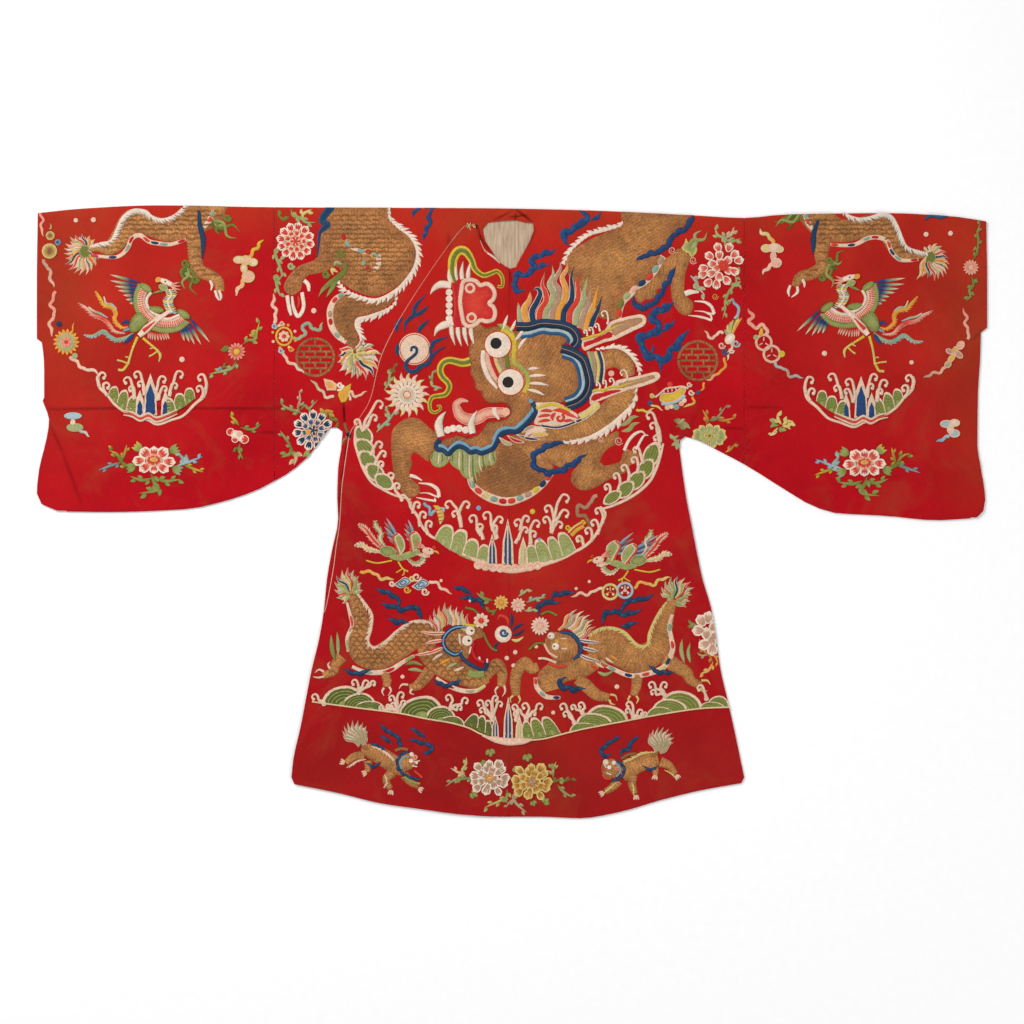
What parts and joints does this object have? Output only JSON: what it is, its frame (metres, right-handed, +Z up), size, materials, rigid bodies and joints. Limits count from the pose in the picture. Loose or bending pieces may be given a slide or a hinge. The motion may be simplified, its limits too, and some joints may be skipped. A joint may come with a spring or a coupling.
{
  "type": "chinese dragon robe laid flat",
  "caption": "Wide-sleeved red silk robe with round neck and side closing, embroidered with couched gold dragons, laid flat with its front up.",
  "frame": {"origin": "centre of the robe's footprint, on the surface it lies on", "axes": "+X across the sleeves towards the wearer's left cuff, +Y from the hem to the shoulders, +Z up out of the front"},
  "size_m": [1.952, 1.259, 0.0097],
  "materials": {
    "red_silk": "crimson silk satin faded to brick red at the shoulders and cuffs, embroidered in silk floss and couched gold thread",
    "pale_lining": "unbleached plain-weave silk lining, creased",
    "pale_piping": "thin pale edging, worn",
    "tie_thread": "frayed twisted silk threads, ochre and dark blue"
  },
  "bodies": {
    "root": {"right_body": "red_silk", "left_body": "red_silk", "front_overlap": "red_silk", "right_sleeve": "red_silk", "left_sleeve": "red_silk", "neck_lining": "pale_lining", "closure_piping": "pale_piping", "tie_neck": "tie_thread", "tie_side": "tie_thread"}
  },
  "joints": []
}
